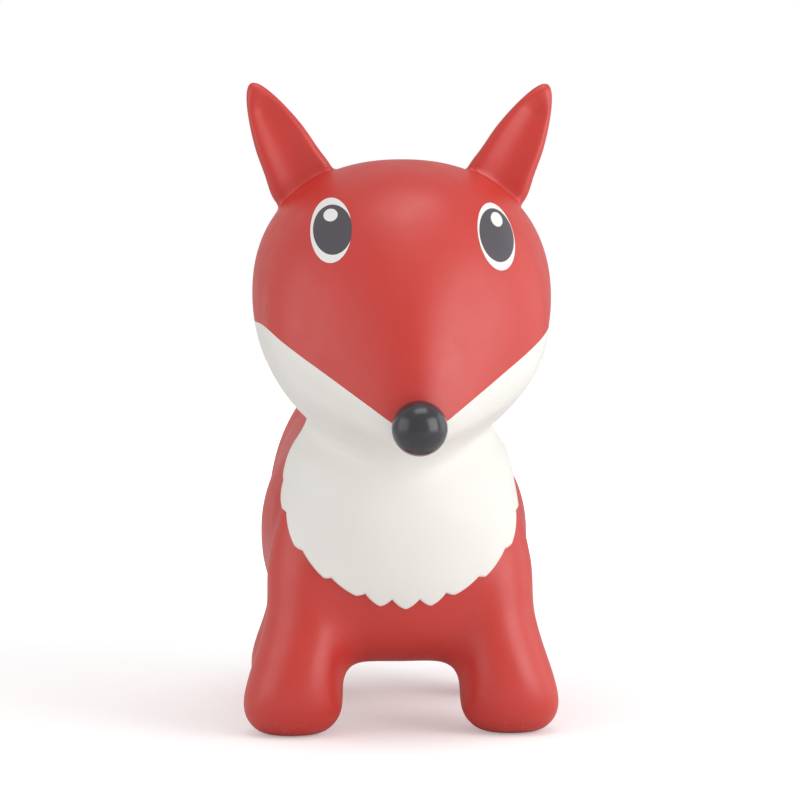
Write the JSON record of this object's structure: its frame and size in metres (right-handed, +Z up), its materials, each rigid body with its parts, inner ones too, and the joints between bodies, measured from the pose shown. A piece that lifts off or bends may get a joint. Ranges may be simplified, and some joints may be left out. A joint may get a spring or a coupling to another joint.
{
  "type": "ride-on bouncy animal",
  "caption": "Air-filled ride-on fox in soft red PVC with white cheeks, tufted bib and tail tip, squashy legs, flexing ears to hold and an air plug under the tail.",
  "frame": {"origin": "on the floor, under the middle of the whole toy's length and width", "axes": "+Z up; -Y the way the fox faces, so +Y towards the tail; +X to the fox's own left"},
  "size_m": [0.239, 0.5479, 0.4994],
  "materials": {
    "red_pvc": "satin",
    "white_pvc": "satin",
    "nose_paint": "gloss",
    "iris_print": "semi-gloss",
    "white_print": "semi-gloss",
    "valve_pvc": "satin",
    "plug_pvc": "satin"
  },
  "bodies": {
    "body": {"trunk": "red_pvc", "chest_and_neck": "red_pvc", "chest_bib": "white_pvc", "head": "red_pvc", "face_mask": "white_pvc", "nose": "nose_paint", "left_eye_white": "white_print", "left_iris": "iris_print", "left_glint": "white_print", "right_eye_white": "white_print", "right_iris": "iris_print", "right_glint": "white_print", "left_ear_root": "red_pvc", "right_ear_root": "red_pvc", "front_left_leg": "red_pvc", "front_right_leg": "red_pvc", "hind_left_leg": "red_pvc", "hind_right_leg": "red_pvc", "tail": "red_pvc", "tail_tip": "white_pvc", "valve_seat": "valve_pvc"},
    "front_left_foot_body": {"front_left_foot": "red_pvc"},
    "front_right_foot_body": {"front_right_foot": "red_pvc"},
    "hind_left_foot_body": {"hind_left_foot": "red_pvc"},
    "hind_right_foot_body": {"hind_right_foot": "red_pvc"},
    "left_ear_body": {"left_ear": "red_pvc"},
    "right_ear_body": {"right_ear": "red_pvc"},
    "plug_body": {"valve_plug": "plug_pvc"}
  },
  "joints": [
    {"name": "front_left_squash", "type": "slide", "parent": "body", "child": "front_left_foot_body", "axis": [0, 0, 1], "range_m": [0, 0.02], "stiffness_N_per_m": 3000, "springref_m": -0.0012, "deforming": ["front_left_leg"]},
    {"name": "front_right_squash", "type": "slide", "parent": "body", "child": "front_right_foot_body", "axis": [0, 0, 1], "range_m": [0, 0.02], "stiffness_N_per_m": 3000, "springref_m": -0.0012, "deforming": ["front_right_leg"]},
    {"name": "hind_left_squash", "type": "slide", "parent": "body", "child": "hind_left_foot_body", "axis": [0, 0, 1], "range_m": [0, 0.02], "stiffness_N_per_m": 3000, "springref_m": -0.0012, "deforming": ["hind_left_leg"]},
    {"name": "hind_right_squash", "type": "slide", "parent": "body", "child": "hind_right_foot_body", "axis": [0, 0, 1], "range_m": [0, 0.02], "stiffness_N_per_m": 3000, "springref_m": -0.0012, "deforming": ["hind_right_leg"]},
    {"name": "left_ear_flex", "type": "hinge", "parent": "body", "child": "left_ear_body", "pos_m": [0.07885, -0.0822, 0.43068], "axis": [0.8886, 0, -0.4586], "range_deg": [-12, 12], "stiffness_Nm_per_rad": 3, "deforming": ["left_ear_root"]},
    {"name": "right_ear_flex", "type": "hinge", "parent": "body", "child": "right_ear_body", "pos_m": [-0.07885, -0.0822, 0.43068], "axis": [0.8886, 0, 0.4586], "range_deg": [-12, 12], "stiffness_Nm_per_rad": 3, "deforming": ["right_ear_root"]},
    {"name": "plug_pull", "type": "slide", "parent": "body", "child": "plug_body", "axis": [0, 1, 0], "range_m": [0, 0.02]}
  ]
}
